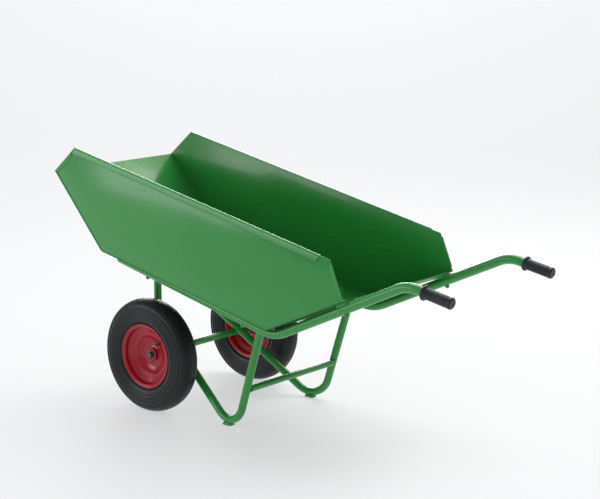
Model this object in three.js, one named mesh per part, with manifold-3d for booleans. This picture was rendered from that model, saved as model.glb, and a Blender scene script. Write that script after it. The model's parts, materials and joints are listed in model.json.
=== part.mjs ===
// A two-wheeled wheelbarrow with a folded sheet tub on a bent tube frame.
// Millimetres. x runs from the nose to the handles, z is up, and the ground is z = 0.
// The barrow is the same on both sides of y = 0; left is the side at -y, the walker's left hand.

import * as THREE from "three";
import { mergeVertices } from "three/addons/utils/BufferGeometryUtils.js";
import Module from "manifold-3d";

const wasm = await Module();
wasm.setup();

const degree = Math.PI / 180;
const gap = 0.3;                      // left free between pieces that touch
const sides = [{ name: "left", sign: -1 }, { name: "right", sign: 1 }];

// Wheels
const wheelRadius = 200;
const tyreHalfWidth = 43;
const treadHalfWidth = 31;
const treadDrop = 7;                  // fall of the tread's edges below its crown
const treadFlat = 14;                 // half the width of the flat crown
const shoulderDrop = 18;
const shoulderInset = 4;
const beadWidth = 14;
const tyreWall = 6;
const seatRadius = 103;               // where the tyre's beads sit on the rim
const rimFlange = 11;                 // height of the rim's edge above that seat
const rimHalfWidth = 31;
const rimSheet = 2.5;
const wellRadius = 82;                // the narrow middle of the rim
const wellHalfWidth = 6;
const seatTaper = 1;                  // fall of the seat towards the well
const seatSlope = 16;                 // from the rim's edge to the start of the slope
const bowlRadius = 64;                // the dished centre of the disc
const bowlCorner = 4;                 // half the width of the step round the bowl
const bowlFace = 3;                   // disc's outer face behind the wheel's middle plane
const bowlBack = 7;                   // and its back
const hubCollar = 12;                 // flat ring round the hub
const hubRadius = 24;
const hubInner = 40;                  // hub end towards the barrow, from the wheel's middle plane
const hubOuter = 2;
const bearingRadius = 17.5;
const bearingWidth = 12;
const bearingPlay = 0.5;
const innerTubeRadius = 30;
const innerTubeWall = 2.5;
const innerTubeSides = 8;
const innerTubeDrop = 2;              // its loop's centre below the middle of the tyre's wall
const valveRadius = 4;
const valveTurn = 133 * degree;       // where the valve stands round the wheel
const valveTip = 66;                  // distance of the stem's end from the axle
const valveRoot = 15;                 // distance of the stem's start inside the inner tube's loop
const valveOffset = 12;               // distance of the stem from the wheel's middle plane
const capRadius = 5;
const capLength = 12;
const capChamfer = 1.5;

// Tub, seen from the side
const sheet = 2;
const tubWidth = 583.4;               // over the outside of the side plates
const floorLength = 790;
const floorFall = 11.64 * degree;
const floorClearance = 98.4;          // floor above the tyres, over the axle
const noseLength = 354;
const noseRise = 48.18 * degree;
const noseCutLength = 142.7;
const noseCutRise = 40.2 * degree;
const rampFoldX = 146;
const rampLength = 352;
const rampRise = 24.22 * degree;
const rampCutLength = 136.5;
const rampCutRise = 112.85 * degree;
const panOverlap = 1.5;               // pan edge beyond the side plates
const panHem = 6;                     // nose edge folded back on itself
const hemSlack = 0.4;
const rearLip = 14;                   // ramp's end folded down between the rails
const rearLipInset = 52;              // lip's ends inside the side plates
const topHem = 23;
const noseHem = 16;
const rampHem = 12;
const hemThickness = 4.5;
const hemLap = 1;                     // how far a hem runs into its plate

// Frame
const tubeWall = 2;
const railRadius = 15.75;
const railStandoff = 4.9;             // clear height between the rails and the tub floor
const railStart = 38;                 // rail end behind the nose fold
const railInset = 34.1;               // rail centre inside the side plate, at the ramp fold
const railSplay = 1.8 * degree;       // the rails spread towards the handles
const handleRise = 24.86 * degree;
const rampStandoff = 5.4;             // clear height between the rails and the ramp's end
const crestReach = 230.8;             // handle crest behind the ramp's end
const handleFall = 10.9 * degree;
const gripReach = 167.8;              // crest to the tip of the grip
const rampBend = 145;
const crestBend = 130;
const legRadius = 13.5;
const legBehindFold = -68.7;          // top of the leg, from the ramp fold
const legInset = 67.9;                // leg apex inside the side plate
const legLap = 26;                    // leg centre inside the rail's centre
const legTop = 8;                     // leg's top end above the rail's centre line
const legApexX = -52.4;
const legClearance = 6.933;           // leg's underside above the ground
const footBend = 78;
const kneeBend = 70;
const strutBehindNose = 117.4;        // upright struts behind the nose fold
const strutInset = 158;
const strutTop = 4;                   // strut's top end below the rail's centre line
const axleBehindStrut = 96.6;
const axleRadius = 12.5;
const stubRadius = 10;
const hubPlay = 1;                    // from the axle's shoulder to the hub
const stubEnd = 8;                    // stub beyond its washer
const wheelInset = 28.1;              // wheel's middle plane inside the side plate
const braceRadius = 11;
const braceHeight = 147;
const braceBehindLeg = 8;
const braceLap = 6;                   // how far the brace's ends are cut round the legs
const crossBarRadius = 12.5;

// Fittings
const gripWall = 1.95;
const gripLength = 105.9;
const gripFlangeRise = 6.5;           // flange beyond the grip's own radius
const gripFlangeWidth = 9;
const gripEnd = 4.2;
const gripChamfer = 4;
const gripFillet = 3;
const flangeChamfer = 2;
const plugDepth = 14;
const plugHead = 3;
const plugSlack = 1;                  // between the plug and the inside of its tube
const plugChamfer = 1;
const footLength = 36;
const footWidth = 26;
const footHeight = 11;
const boltRadius = 4;
const boltHead = 9;
const boltHeadHeight = 4.5;
const nutRadius = 7.5;
const nutHeight = 6.5;
const boltTail = 3;                   // thread beyond its nut
const saddleLength = 40;
const saddleWidth = 26;
const saddleHug = 5;                  // how far a saddle reaches down round the rail
const frontFixing = 190;              // bolts behind the nose fold
const middleFixing = 130;             // bolts ahead of the ramp fold
const rearFixing = 24;                // bolts ahead of the ramp's end
const washerRadius = 17;
const washerThickness = 2;
const pinRadius = 1.5;
const pinBeyondWasher = 4;
const pinTail = 4;                    // pin beyond the stub on each side
const overrun = 20;                   // how far a cutter runs past what it cuts

const ringSteps = 28;
const tubeSides = 10;
const arcSteps = 6;
const apexSteps = 12;

const paint = { color: 0x3a8f45, roughness: 0.38, metalness: 0.1 };
const redPaint = { color: 0xa8182c, roughness: 0.25, metalness: 0.1 };
const rubber = { color: 0x1c2226, roughness: 0.7, metalness: 0 };
const plastic = { color: 0x23303a, roughness: 0.55, metalness: 0 };
const zinc = { color: 0xb9bcc0, roughness: 0.35, metalness: 0.9 };

const model = new THREE.Group();

function addPiece(parent, name, geometry, finish) {
  const piece = new THREE.Mesh(geometry, new THREE.MeshStandardMaterial(finish));
  piece.name = name;
  parent.add(piece);
}

// Solids

function solidOf(geometry) {
  const bare = geometry.clone();
  bare.deleteAttribute("normal");
  bare.deleteAttribute("uv");
  const merged = mergeVertices(bare, 1e-3);
  const corners = merged.index.array;
  const kept = [];
  for (let i = 0; i < corners.length; i += 3) {
    const [a, b, c] = corners.slice(i, i + 3);
    if (a !== b && b !== c && c !== a) {
      kept.push(a, b, c);
    }
  }
  return new wasm.Manifold(new wasm.Mesh({
    numProp: 3,
    vertProperties: new Float32Array(merged.getAttribute("position").array),
    triVerts: new Uint32Array(kept),
  }));
}

function geometryOf(solid) {
  const mesh = solid.getMesh();
  const geometry = new THREE.BufferGeometry();
  geometry.setAttribute("position", new THREE.BufferAttribute(mesh.vertProperties, 3));
  geometry.setIndex(new THREE.BufferAttribute(mesh.triVerts, 1));
  geometry.computeVertexNormals();
  return geometry;
}

function circle(radius) {
  const points = [];
  for (let i = 0; i < tubeSides; i += 1) {
    const turn = (2 * Math.PI * i) / tubeSides;
    points.push(new THREE.Vector2(radius * Math.cos(turn), radius * Math.sin(turn)));
  }
  return points;
}

// Straight runs joined by arcs. A section stands at each station, so steps are spent in the bends.
class BentLine extends THREE.Curve {
  constructor(corners, radii) {
    super();
    const last = corners.length - 1;
    const heading = (i) => corners[i + 1].clone().sub(corners[i]).normalize();
    this.stations = [{ place: corners[0], heading: heading(0) }];
    for (let i = 1; i < last; i += 1) {
      this.addBend(corners[i], heading(i - 1), heading(i), radii[i - 1]);
    }
    this.stations.push({ place: corners[last], heading: heading(last - 1) });
  }

  addBend(corner, before, after, radius) {
    const turn = before.angleTo(after);
    const axis = before.clone().cross(after).normalize();
    const start = corner.clone().addScaledVector(before, -radius * Math.tan(turn / 2));
    const centre = start.clone().addScaledVector(axis.clone().cross(before), radius);
    for (let i = 0; i <= arcSteps; i += 1) {
      const angle = (turn * i) / arcSteps;
      const arm = start.clone().sub(centre).applyAxisAngle(axis, angle);
      this.stations.push({
        place: centre.clone().add(arm),
        heading: before.clone().applyAxisAngle(axis, angle),
      });
    }
  }

  station(t) {
    return this.stations[Math.round(t * (this.stations.length - 1))];
  }

  getPointAt(t) {
    return this.station(t).place.clone();
  }

  getTangentAt(t) {
    return this.station(t).heading.clone();
  }
}

function sweep(line, shape) {
  return new THREE.ExtrudeGeometry(shape, {
    steps: line.stations.length - 1,
    extrudePath: line,
    bevelEnabled: false,
  });
}

function rodAlong(line, radius) {
  return solidOf(sweep(line, new THREE.Shape(circle(radius))));
}

function tubeAlong(line, radius) {
  const shape = new THREE.Shape(circle(radius));
  shape.holes.push(new THREE.Path(circle(radius - tubeWall)));
  return solidOf(sweep(line, shape));
}

function straight(from, to) {
  return new BentLine([from, to], []);
}

// A flat outline in x and z, as thick as depth, whose lower y is start.
function slab(outline, depth, start) {
  const geometry = new THREE.ExtrudeGeometry(new THREE.Shape(outline), { depth, bevelEnabled: false });
  geometry.rotateX(Math.PI / 2);
  geometry.translate(0, start + depth, 0);
  return solidOf(geometry);
}

// A ring or disc about y from [radius, y] points that run clockwise with radius to the right.
function turned(profile, steps = ringSteps) {
  const points = [...profile, profile[0]].map(([radius, y]) => new THREE.Vector2(radius, y));
  return new THREE.LatheGeometry(points.reverse(), steps);
}

// Side view of the tub

function reach(from, length, angle) {
  return new THREE.Vector2(from.x + length * Math.cos(angle), from.y + length * Math.sin(angle));
}

function meet(a, angleA, b, angleB) {
  const across = Math.sin(angleB - angleA);
  const along = ((b.x - a.x) * Math.sin(angleB) - (b.y - a.y) * Math.cos(angleB)) / across;
  return reach(a, along, angleA);
}

const noseFoldX = rampFoldX - floorLength * Math.cos(floorFall);
const strutX = noseFoldX + strutBehindNose;
const axleX = strutX + axleBehindStrut;
const rampFoldZ = 2 * wheelRadius + floorClearance - (rampFoldX - axleX) * Math.tan(floorFall);

const rampFold = new THREE.Vector2(rampFoldX, rampFoldZ);
const noseFold = reach(rampFold, floorLength, Math.PI - floorFall);
const noseTip = reach(noseFold, noseLength, Math.PI - noseRise);
const noseTop = reach(noseTip, noseCutLength, noseCutRise);
const rampEnd = reach(rampFold, rampLength, rampRise);
const rampTop = reach(rampEnd, rampCutLength, rampCutRise);
const outline = [noseTip, noseFold, rampFold, rampEnd, rampTop, noseTop];

// Moves each side of an anticlockwise outline inwards by its own distance.
function inset(points, distances) {
  const lines = points.map((point, i) => {
    const next = points[(i + 1) % points.length];
    const angle = Math.atan2(next.y - point.y, next.x - point.x);
    return { point: reach(point, distances[i], angle + Math.PI / 2), angle };
  });
  return lines.map((line, i) => {
    const before = lines[(i + lines.length - 1) % lines.length];
    return meet(before.point, before.angle, line.point, line.angle);
  });
}

// Side view of the rails

const tubHalf = tubWidth / 2;
const railDrop = railStandoff + railRadius;
const railFront = reach(noseFold, railDrop, -Math.PI / 2 - floorFall);
const railRear = reach(rampEnd, rampStandoff + railRadius, rampRise - Math.PI / 2);
const railVertex = meet(railFront, -floorFall, railRear, handleRise);

function railHeight(x) {
  return railVertex.y + (railVertex.x - x) * Math.tan(floorFall);
}

function railSpread(x) {
  return tubHalf - railInset + (x - rampFoldX) * Math.tan(railSplay);
}

function railPoint(x, z, sign) {
  return new THREE.Vector3(x, sign * railSpread(x), z);
}

const crestX = rampEnd.x + crestReach;
const crestZ = railVertex.y + (crestX - railVertex.x) * Math.tan(handleRise);
const handleHeading = new THREE.Vector3(Math.cos(handleFall), 0, -Math.sin(handleFall));

function handlePoint(sign, reachFromCrest) {
  return railPoint(crestX, crestZ, sign).addScaledVector(handleHeading, reachFromCrest);
}

function railLine(sign) {
  const startX = noseFoldX + railStart;
  const corners = [
    railPoint(startX, railHeight(startX), sign),
    railPoint(railVertex.x, railVertex.y, sign),
    railPoint(crestX, crestZ, sign),
    handlePoint(sign, gripReach - gripEnd - gap),
  ];
  return new BentLine(corners, [rampBend, crestBend]);
}

// Each leg is one tube: down from the rail, round the foot, forward over the axle, up as a strut.
function legLine(sign, apexZ = legApexZ) {
  const toAxle = new THREE.Vector2(legApexX - axleX, wheelRadius - apexZ);
  const touch = axleRadius + legRadius + gap;
  const climb = toAxle.angle() + Math.asin(touch / toAxle.length());
  const kneeZ = apexZ + (legApexX - strutX) * Math.tan(climb);
  const topX = rampFoldX + legBehindFold;
  const corners = [
    new THREE.Vector3(topX, sign * (railSpread(topX) - legLap), railHeight(topX) + legTop),
    new THREE.Vector3(legApexX, sign * (tubHalf - legInset), apexZ),
    new THREE.Vector3(strutX, sign * (tubHalf - strutInset), kneeZ),
    new THREE.Vector3(strutX, sign * (tubHalf - strutInset), railHeight(strutX) - strutTop),
  ];
  return new BentLine(corners, [footBend, kneeBend]);
}

// The leg's two straights would cross at the apex, so far down that the bend clears the ground.
function lowerLeg() {
  let apexZ = 0;
  for (let i = 0; i < apexSteps; i += 1) {
    const heights = legLine(1, apexZ).stations.map(({ place }) => place.z);
    apexZ += legRadius + legClearance - Math.min(...heights);
  }
  return apexZ;
}

const legApexZ = lowerLeg();

function acrossAt(x, z, half) {
  return straight(new THREE.Vector3(x, -half, z), new THREE.Vector3(x, half, z));
}

const crossBarLine = acrossAt(strutX, railHeight(strutX), railSpread(strutX));

// The tub stands on saddles, and a bolt goes down through each one and the rail to a nut.
// A fixing's own frame has its origin on the underside of the pan, x along the pan, z up through it.
function fixingsFor(sign) {
  const spots = [
    { name: "front", point: reach(noseFold, frontFixing, -floorFall), slope: -floorFall },
    { name: "middle", point: reach(rampFold, middleFixing, Math.PI - floorFall), slope: -floorFall },
    { name: "rear", point: reach(rampEnd, rearFixing, Math.PI + rampRise), slope: rampRise },
  ];
  return spots.map(({ name, point, slope }) => {
    const railAngle = slope < 0 ? -floorFall : handleRise;
    const down = slope - Math.PI / 2;
    const railCentre = meet(point, down, railVertex, railAngle);
    const place = new THREE.Matrix4().makeRotationY(-slope);
    place.setPosition(point.x, sign * railSpread(railCentre.x), point.y);
    return { name, place, drop: point.distanceTo(railCentre) };
  });
}

// A round or six-sided bar about the fixing's z, between two heights.
function upright(radius, low, high, segments = tubeSides) {
  const geometry = new THREE.CylinderGeometry(radius, radius, high - low, segments);
  geometry.rotateX(Math.PI / 2);
  geometry.translate(0, 0, (low + high) / 2);
  return geometry;
}

function placed(geometry, place) {
  return solidOf(geometry.applyMatrix4(place));
}

function boltHole({ place, drop }) {
  const reachDown = drop + railRadius + nutHeight;
  return placed(upright(boltRadius + gap, -reachDown - overrun, overrun), place);
}

function rearLipSolid() {
  const half = tubHalf - rearLipInset;
  const top = reach(rampEnd, sheet, Math.PI / 2 + rampRise);
  const foot = reach(top, sheet + rearLip, rampRise - Math.PI / 2);
  const inward = Math.PI + rampRise;
  return slab([top, foot, reach(foot, sheet, inward), reach(top, sheet, inward)].reverse(), 2 * half, -half);
}

function panSolid() {
  const inner = inset(outline, [sheet, sheet, sheet, 0, 0, 0]);
  const hem = 2 * sheet + hemSlack;
  const noseHemStart = reach(noseTip, panHem, -noseRise);
  const intoNose = Math.PI / 2 - noseRise;
  const intoRamp = Math.PI / 2 + rampRise;
  const section = [
    noseTip, noseFold, rampFold, rampEnd, reach(rampEnd, sheet, intoRamp), inner[2], inner[1],
    reach(noseHemStart, sheet, intoNose), reach(noseHemStart, hem, intoNose), reach(noseTip, hem, intoNose),
  ];
  const half = tubHalf + panOverlap;
  let pan = slab(section, 2 * half, -half).add(rearLipSolid());
  for (const { sign } of sides) {
    pan = sidePlate(sign, gap).reduce((left, cutter) => left.subtract(cutter), pan);
    pan = fixingsFor(sign).reduce((left, fixing) => left.subtract(boltHole(fixing)), pan);
  }
  return pan;
}

// The plate and the hem folded outwards round its three free edges. Spare grows them as cutters.
function sidePlate(sign, spare = 0) {
  const edge = sheet + gap - spare;
  const plate = inset(outline, [edge, edge, edge, -spare, -spare, -spare]);
  const window = inset(outline, [-overrun, -overrun, -overrun, rampHem, topHem, noseHem]);
  const thickness = sheet + 2 * spare;
  const hemDepth = hemThickness + hemLap;
  const plateStart = sign > 0 ? tubHalf - sheet - spare : -tubHalf - spare;
  const hemStart = sign > 0 ? tubHalf - hemLap : -tubHalf - hemThickness;
  const hem = slab(plate, hemDepth, hemStart).subtract(slab(window, 4 * hemDepth, hemStart - hemDepth));
  return [slab(plate, thickness, plateStart), hem];
}

function railSolid(sign) {
  let rail = tubeAlong(railLine(sign), railRadius);
  for (const fixing of fixingsFor(sign)) {
    rail = rail.subtract(boltHole(fixing));
  }
  return rail;
}

function legSolid(sign) {
  return tubeAlong(legLine(sign), legRadius)
    .subtract(rodAlong(railLine(sign), railRadius + gap))
    .subtract(rodAlong(crossBarLine, crossBarRadius + gap));
}

function crossBarSolid() {
  return sides.reduce(
    (bar, { sign }) => bar.subtract(rodAlong(railLine(sign), railRadius + gap)),
    tubeAlong(crossBarLine, crossBarRadius),
  );
}

function braceSolid() {
  const topX = rampFoldX + legBehindFold;
  const share = (braceHeight - legApexZ) / (railHeight(topX) + legTop - legApexZ);
  const braceX = legApexX + share * (topX - legApexX) + braceBehindLeg;
  const half = tubHalf - legInset - legRadius + braceLap;
  return sides.reduce(
    (bar, { sign }) => bar.subtract(rodAlong(legLine(sign), legRadius + gap)),
    tubeAlong(acrossAt(braceX, braceHeight, half), braceRadius),
  );
}

// The bar under the legs, with a thinner stub through each hub and a hole for its split pin.
function axleSolid(wheelY) {
  const shoulder = wheelY - hubInner - hubPlay;
  const end = wheelY + hubOuter + washerThickness + stubEnd;
  let axle = rodAlong(acrossAt(axleX, wheelRadius, shoulder), axleRadius)
    .add(rodAlong(acrossAt(axleX, wheelRadius, end), stubRadius));
  for (const { sign } of sides) {
    axle = axle.subtract(rodAlong(legLine(sign), legRadius + gap));
    axle = axle.subtract(rodAlong(splitPinLine(sign, wheelY), pinRadius + gap));
  }
  return axle;
}

function splitPinLine(sign, wheelY) {
  const y = sign * (wheelY + hubOuter + washerThickness + pinBeyondWasher);
  const half = stubRadius + pinTail;
  return straight(
    new THREE.Vector3(axleX, y, wheelRadius - half),
    new THREE.Vector3(axleX, y, wheelRadius + half),
  );
}

function footPad(sign) {
  const line = legLine(sign);
  const lowest = line.stations.reduce((low, each) => (each.place.z < low.place.z ? each : low));
  const block = new THREE.BoxGeometry(footLength, footWidth, footHeight);
  block.translate(lowest.place.x, lowest.place.y, footHeight / 2);
  return solidOf(block).subtract(rodAlong(line, legRadius + gap));
}

function placedAlong(geometry, start, heading) {
  geometry.applyQuaternion(new THREE.Quaternion().setFromUnitVectors(new THREE.Vector3(0, 1, 0), heading));
  return geometry.translate(start.x, start.y, start.z);
}

function grip(sign) {
  const bore = railRadius + gap;
  const gripRadius = bore + gripWall;
  const gripFlange = gripRadius + gripFlangeRise;
  const profile = [
    [bore, 0], [bore, gripLength - gripEnd], [0, gripLength - gripEnd], [0, gripLength],
    [gripRadius - gripChamfer, gripLength], [gripRadius, gripLength - gripChamfer],
    [gripRadius, gripFlangeWidth + gripFillet], [gripFlange, gripFlangeWidth],
    [gripFlange, flangeChamfer], [gripFlange - flangeChamfer, 0],
  ];
  const geometry = turned(profile, 24);
  return placedAlong(geometry, handlePoint(sign, gripReach - gripLength), handleHeading);
}

function railPlug(sign) {
  const inside = railRadius - tubeWall - plugSlack;
  const profile = [
    [0, -plugHead], [0, plugDepth], [inside - plugChamfer, plugDepth], [inside, plugDepth - plugChamfer],
    [inside, -gap], [railRadius, -gap], [railRadius - plugChamfer, -plugHead],
  ];
  const start = railLine(sign).stations[0];
  return placedAlong(turned(profile, tubeSides), start.place, start.heading);
}

function saddle(sign, fixing) {
  const low = -(fixing.drop - railRadius + saddleHug);
  const block = new THREE.BoxGeometry(saddleLength, saddleWidth, -gap - low);
  block.translate(0, 0, (low - gap) / 2);
  return placed(block, fixing.place)
    .subtract(rodAlong(railLine(sign), railRadius + gap))
    .subtract(boltHole(fixing));
}

function bolt({ place, drop }) {
  const seat = sheet + gap;
  const foot = -(drop + railRadius + gap + nutHeight + boltTail);
  const profile = [
    [0, foot], [0, seat + boltHeadHeight], [boltHead * 0.6, seat + boltHeadHeight * 0.8],
    [boltHead, seat], [boltRadius, seat], [boltRadius, foot],
  ];
  return placed(turned(profile, tubeSides).rotateX(Math.PI / 2), place);
}

function nut({ place, drop }) {
  const top = -(drop + railRadius + gap);
  return placed(upright(nutRadius, top - nutHeight, top, 6), place)
    .subtract(placed(upright(boltRadius + gap, top - 2 * nutHeight, top + nutHeight), place));
}

// A wheel about y, with the side that faces away from the barrow at +y.

function mirrored(half) {
  return [...half, ...half.map(([radius, y]) => [radius, -y]).reverse()];
}

function tyre() {
  const bead = seatRadius + gap;
  const edge = rimHalfWidth - gap;
  const flange = seatRadius + rimFlange;
  const middle = (flange + wheelRadius) / 2;
  const outside = [
    [bead, edge - beadWidth], [bead, edge], [flange + 1, edge], [flange + tyreWall, tyreHalfWidth - 5],
    [middle, tyreHalfWidth], [wheelRadius - shoulderDrop, tyreHalfWidth - shoulderInset],
    [wheelRadius - treadDrop, treadHalfWidth], [wheelRadius, treadFlat],
  ];
  const cavity = tyreHalfWidth - tyreWall;
  const inside = [
    [flange + 4, cavity - 8], [middle, cavity],
    [wheelRadius - shoulderDrop - 2, cavity - shoulderInset], [wheelRadius - 1.3 * tyreWall, treadFlat],
  ];
  return turned([...mirrored(outside), ...mirrored(inside).reverse()]);
}

function rim() {
  const flange = seatRadius + rimFlange;
  const slopeStart = rimHalfWidth - seatSlope;
  const half = rimSheet / 2;
  const tyreSide = [
    [flange, rimHalfWidth], [seatRadius, rimHalfWidth],
    [seatRadius - seatTaper, slopeStart], [wellRadius + half, wellHalfWidth - 2],
  ];
  const openSide = [
    [flange, rimHalfWidth + rimSheet], [seatRadius - rimSheet, rimHalfWidth + rimSheet],
    [seatRadius - seatTaper - rimSheet, slopeStart + 1], [wellRadius - half, wellHalfWidth],
  ];
  const bore = hubRadius + gap;
  const disc = [
    [bowlRadius + bowlCorner, wellHalfWidth], [bowlRadius - bowlCorner, -bowlFace],
    [bore + hubCollar, -bowlFace], [bore, 1], [bore, -bowlFace], [bore + hubCollar - 2, -bowlBack],
    [bowlRadius - 2, -bowlBack], [bowlRadius + bowlCorner + 2, wellHalfWidth - 4],
    [wellRadius - half - 1, wellHalfWidth - 4],
  ];
  const farSide = openSide.map(([radius, y]) => [radius, -y]).reverse();
  const profile = [...mirrored(tyreSide), ...[...openSide, ...disc, ...farSide].reverse()];
  return solidOf(turned(profile)).subtract(valveRod(gap));
}

const innerTubeLoop = (seatRadius + rimFlange + wheelRadius - tyreWall) / 2 - innerTubeDrop;

function valveRod(spare, from = innerTubeLoop - valveRoot, to = valveTip) {
  const at = (radius) => new THREE.Vector3(
    radius * Math.cos(valveTurn),
    valveOffset,
    radius * Math.sin(valveTurn),
  );
  return rodAlong(straight(at(from), at(to)), valveRadius + spare);
}

function innerTube() {
  const loop = (radius) => {
    const points = [];
    for (let i = 0; i < innerTubeSides; i += 1) {
      const turn = (2 * Math.PI * (i + 0.5)) / innerTubeSides;
      points.push([innerTubeLoop + radius * Math.cos(turn), -radius * Math.sin(turn)]);
    }
    return points;
  };
  return solidOf(turned(loop(innerTubeRadius), 24))
    .subtract(solidOf(turned(loop(innerTubeRadius - innerTubeWall), 24)))
    .subtract(valveRod(gap));
}

function ring(inner, outer, low, high, steps = 24) {
  return turned([[inner, low], [inner, high], [outer, high], [outer, low]], steps);
}

function valveCap() {
  const profile = [
    [0, 0], [0, capLength], [capRadius - capChamfer, capLength],
    [capRadius, capLength - capChamfer], [capRadius, 0],
  ];
  const inwards = new THREE.Vector3(-Math.cos(valveTurn), 0, -Math.sin(valveTurn));
  const start = inwards.clone().multiplyScalar(-(valveTip - gap));
  start.y = valveOffset;
  return placedAlong(turned(profile, tubeSides), start, inwards);
}

function addWheel({ name, sign }, wheelY) {
  const wheel = new THREE.Group();
  wheel.position.set(axleX, sign * wheelY, wheelRadius);
  wheel.rotation.z = sign > 0 ? 0 : Math.PI;
  const bore = stubRadius + bearingPlay;
  addPiece(wheel, `tyre_${name}`, tyre(), rubber);
  addPiece(wheel, `inner_tube_${name}`, geometryOf(innerTube()), rubber);
  addPiece(wheel, `rim_${name}`, geometryOf(rim()), redPaint);
  addPiece(wheel, `hub_${name}`, ring(bearingRadius + gap, hubRadius, -hubInner, hubOuter), redPaint);
  addPiece(wheel, `bearing_inner_${name}`,
    ring(bore, bearingRadius, -hubInner, bearingWidth - hubInner), zinc);
  addPiece(wheel, `bearing_outer_${name}`,
    ring(bore, bearingRadius, hubOuter - bearingWidth, hubOuter), zinc);
  addPiece(wheel, `valve_stem_${name}`, geometryOf(valveRod(0)), rubber);
  addPiece(wheel, `valve_cap_${name}`, valveCap(), plastic);
  model.add(wheel);
}

function addAxleEnd({ name, sign }, wheelY) {
  const face = hubOuter + gap;
  const washer = ring(stubRadius + gap, washerRadius, face, face + washerThickness);
  if (sign < 0) {
    washer.rotateZ(Math.PI);
  }
  washer.translate(axleX, sign * wheelY, wheelRadius);
  addPiece(model, `washer_${name}`, washer, zinc);
  addPiece(model, `split_pin_${name}`, geometryOf(rodAlong(splitPinLine(sign, wheelY), pinRadius)), zinc);
}

function addFixings({ name, sign }) {
  for (const fixing of fixingsFor(sign)) {
    addPiece(model, `saddle_${fixing.name}_${name}`, geometryOf(saddle(sign, fixing)), paint);
    addPiece(model, `bolt_${fixing.name}_${name}`, geometryOf(bolt(fixing)), paint);
    addPiece(model, `nut_${fixing.name}_${name}`, geometryOf(nut(fixing)), paint);
  }
}

const wheelY = tubHalf - wheelInset;
addPiece(model, "tub_pan", geometryOf(panSolid()), paint);
addPiece(model, "axle_bar", geometryOf(axleSolid(wheelY)), paint);
addPiece(model, "front_cross_bar", geometryOf(crossBarSolid()), paint);
addPiece(model, "leg_brace", geometryOf(braceSolid()), paint);
for (const side of sides) {
  const { name, sign } = side;
  const [plate, hem] = sidePlate(sign);
  addPiece(model, `side_plate_${name}`, geometryOf(plate.add(hem)), paint);
  addPiece(model, `rail_${name}`, geometryOf(railSolid(sign)), paint);
  addPiece(model, `rail_plug_${name}`, railPlug(sign), plastic);
  addPiece(model, `leg_${name}`, geometryOf(legSolid(sign)), paint);
  addPiece(model, `foot_pad_${name}`, geometryOf(footPad(sign)), paint);
  addPiece(model, `grip_${name}`, grip(sign), plastic);
  addFixings(side);
  addAxleEnd(side, wheelY);
  addWheel(side, wheelY);
}

// The origin is on the ground under the middle of the barrow's length.
const box = new THREE.Box3().setFromObject(model);
model.position.x = -(box.min.x + box.max.x) / 2;

export default model;
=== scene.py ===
import json
import math
import random

import bmesh
import bpy
from mathutils import Matrix, Vector


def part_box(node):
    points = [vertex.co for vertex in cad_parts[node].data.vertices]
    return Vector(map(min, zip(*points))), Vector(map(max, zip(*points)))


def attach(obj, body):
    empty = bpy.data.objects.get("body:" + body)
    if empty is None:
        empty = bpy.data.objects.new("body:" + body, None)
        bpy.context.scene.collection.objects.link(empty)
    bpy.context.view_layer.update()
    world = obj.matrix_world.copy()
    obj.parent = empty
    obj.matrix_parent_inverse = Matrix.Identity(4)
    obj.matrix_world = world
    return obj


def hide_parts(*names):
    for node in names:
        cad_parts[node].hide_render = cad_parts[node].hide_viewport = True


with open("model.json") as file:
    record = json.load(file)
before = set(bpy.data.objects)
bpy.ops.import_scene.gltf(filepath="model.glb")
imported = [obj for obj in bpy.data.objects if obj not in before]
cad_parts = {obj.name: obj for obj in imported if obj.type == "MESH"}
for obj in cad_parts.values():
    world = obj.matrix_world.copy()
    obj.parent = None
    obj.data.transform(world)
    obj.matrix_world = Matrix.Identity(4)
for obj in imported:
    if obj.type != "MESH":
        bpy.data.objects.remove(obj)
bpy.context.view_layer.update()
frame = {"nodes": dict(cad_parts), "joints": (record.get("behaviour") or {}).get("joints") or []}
random.seed(7)

sides = [("left", -1), ("right", 1)]
body = "barrow"
spinAxis = Vector((0, 1, 0))
axleCentre = {}
for joint in frame["joints"]:
    axleCentre[joint["child"]] = Vector(joint["pos_m"])


# ---- shader values ----

class Value:
    # one socket of a finish; sums, products and quotients of it add Math nodes

    def __init__(self, finish, socket):
        self.finish = finish
        self.socket = socket

    def maths(self, operation, first, second=None, clamp=False):
        sockets = {0: first} if second is None else {0: first, 1: second}
        return self.finish.node("Math", {"operation": operation, "use_clamp": clamp}, sockets)

    def __add__(self, other):
        return self.maths("ADD", self, other)

    def __radd__(self, other):
        return self.maths("ADD", other, self)

    def __sub__(self, other):
        return self.maths("SUBTRACT", self, other)

    def __rsub__(self, other):
        return self.maths("SUBTRACT", other, self)

    def __mul__(self, other):
        return self.maths("MULTIPLY", self, other)

    def __rmul__(self, other):
        return self.maths("MULTIPLY", other, self)

    def __truediv__(self, other):
        return self.maths("DIVIDE", self, other)

    def clamped(self):
        return self.maths("ADD", self, 0.0, clamp=True)

    def between(self, low, high):
        # 0 below low, 1 above high and a straight ramp between them
        return ((self - low) / (high - low)).clamped()


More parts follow.
